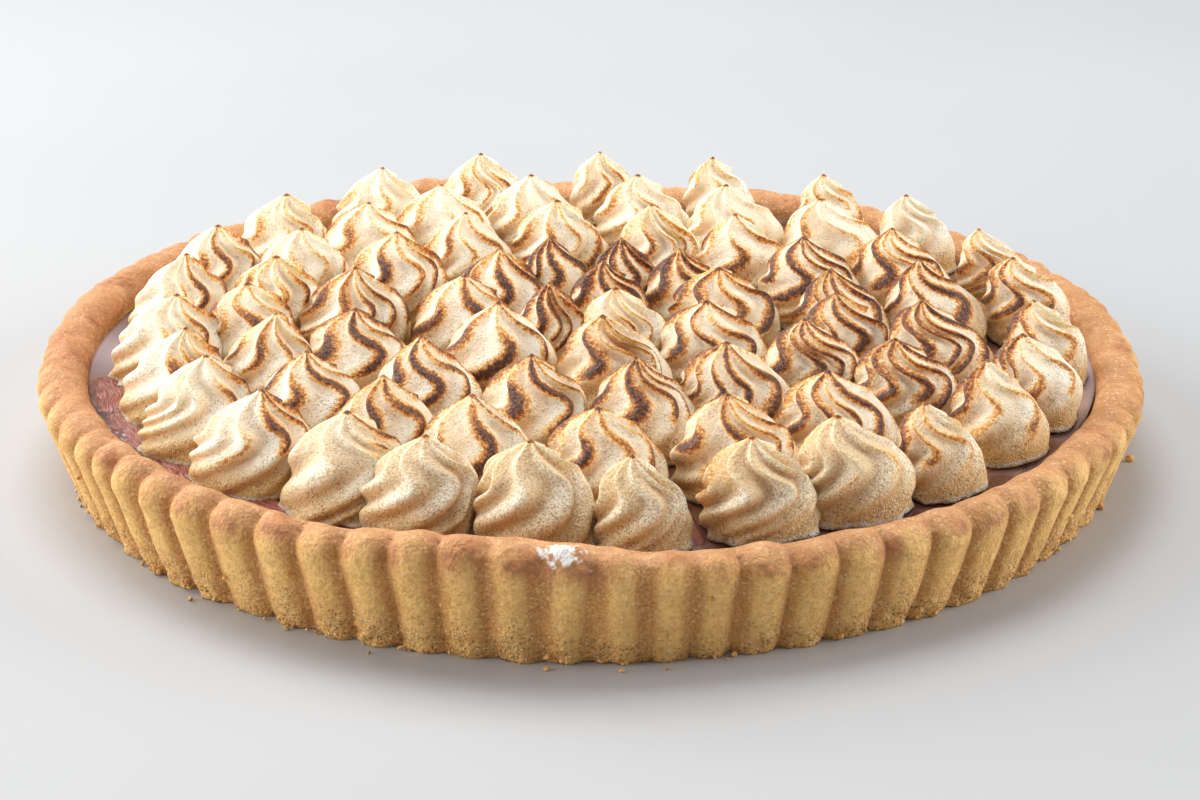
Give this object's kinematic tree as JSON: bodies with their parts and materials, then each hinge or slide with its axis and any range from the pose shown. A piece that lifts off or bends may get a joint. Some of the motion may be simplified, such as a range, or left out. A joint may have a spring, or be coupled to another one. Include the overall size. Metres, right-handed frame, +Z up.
{
  "type": "rhubarb meringue pie",
  "caption": "Round open pie: a fluted shortcrust case with a level rhubarb filling, covered by rings of piped meringue kisses with torched ridges.",
  "frame": {"origin": "centre of the case's flat base, on the surface that the pie stands on", "axes": "+Z up, -Y towards the viewer of the picture, +X to the viewer's right"},
  "size_m": [0.2898, 0.2898, 0.0459],
  "materials": {
    "shortcrust": "baked, dry and slightly crumbly",
    "rhubarb_filling": "wet, jellied glaze",
    "meringue": "satin foam, torched brown along the ridges"
  },
  "bodies": {
    "root": {"crust": "shortcrust", "filling": "rhubarb_filling", "kiss_04": "meringue", "kiss_11": "meringue", "kiss_14": "meringue", "kiss_15": "meringue", "kiss_16": "meringue", "kiss_17": "meringue", "kiss_18": "meringue", "kiss_19": "meringue", "kiss_20": "meringue", "kiss_21": "meringue", "kiss_22": "meringue", "kiss_23": "meringue", "kiss_24": "meringue", "kiss_25": "meringue", "kiss_28": "meringue", "kiss_29": "meringue", "kiss_30": "meringue", "kiss_31": "meringue", "kiss_32": "meringue", "kiss_33": "meringue", "kiss_34": "meringue", "kiss_35": "meringue", "kiss_36": "meringue", "kiss_37": "meringue", "kiss_38": "meringue", "kiss_39": "meringue", "kiss_40": "meringue", "kiss_41": "meringue", "kiss_42": "meringue", "kiss_43": "meringue", "kiss_46": "meringue", "kiss_48": "meringue", "kiss_49": "meringue", "kiss_50": "meringue", "kiss_51": "meringue", "kiss_52": "meringue", "kiss_55": "meringue", "kiss_58": "meringue", "kiss_59": "meringue", "kiss_60": "meringue", "kiss_61": "meringue", "kiss_62": "meringue", "kiss_63": "meringue", "kiss_69": "meringue", "kisses_01_26": "meringue", "kisses_02_03": "meringue", "kisses_05_06": "meringue", "kisses_07_08": "meringue", "kisses_09_10": "meringue", "kisses_12_13": "meringue", "kisses_27_47": "meringue", "kisses_44_45": "meringue", "kisses_53_54": "meringue", "kisses_56_57": "meringue", "kisses_64_65": "meringue", "kisses_66_72": "meringue", "kisses_67_68": "meringue", "kisses_70_71": "meringue"}
  },
  "joints": []
}
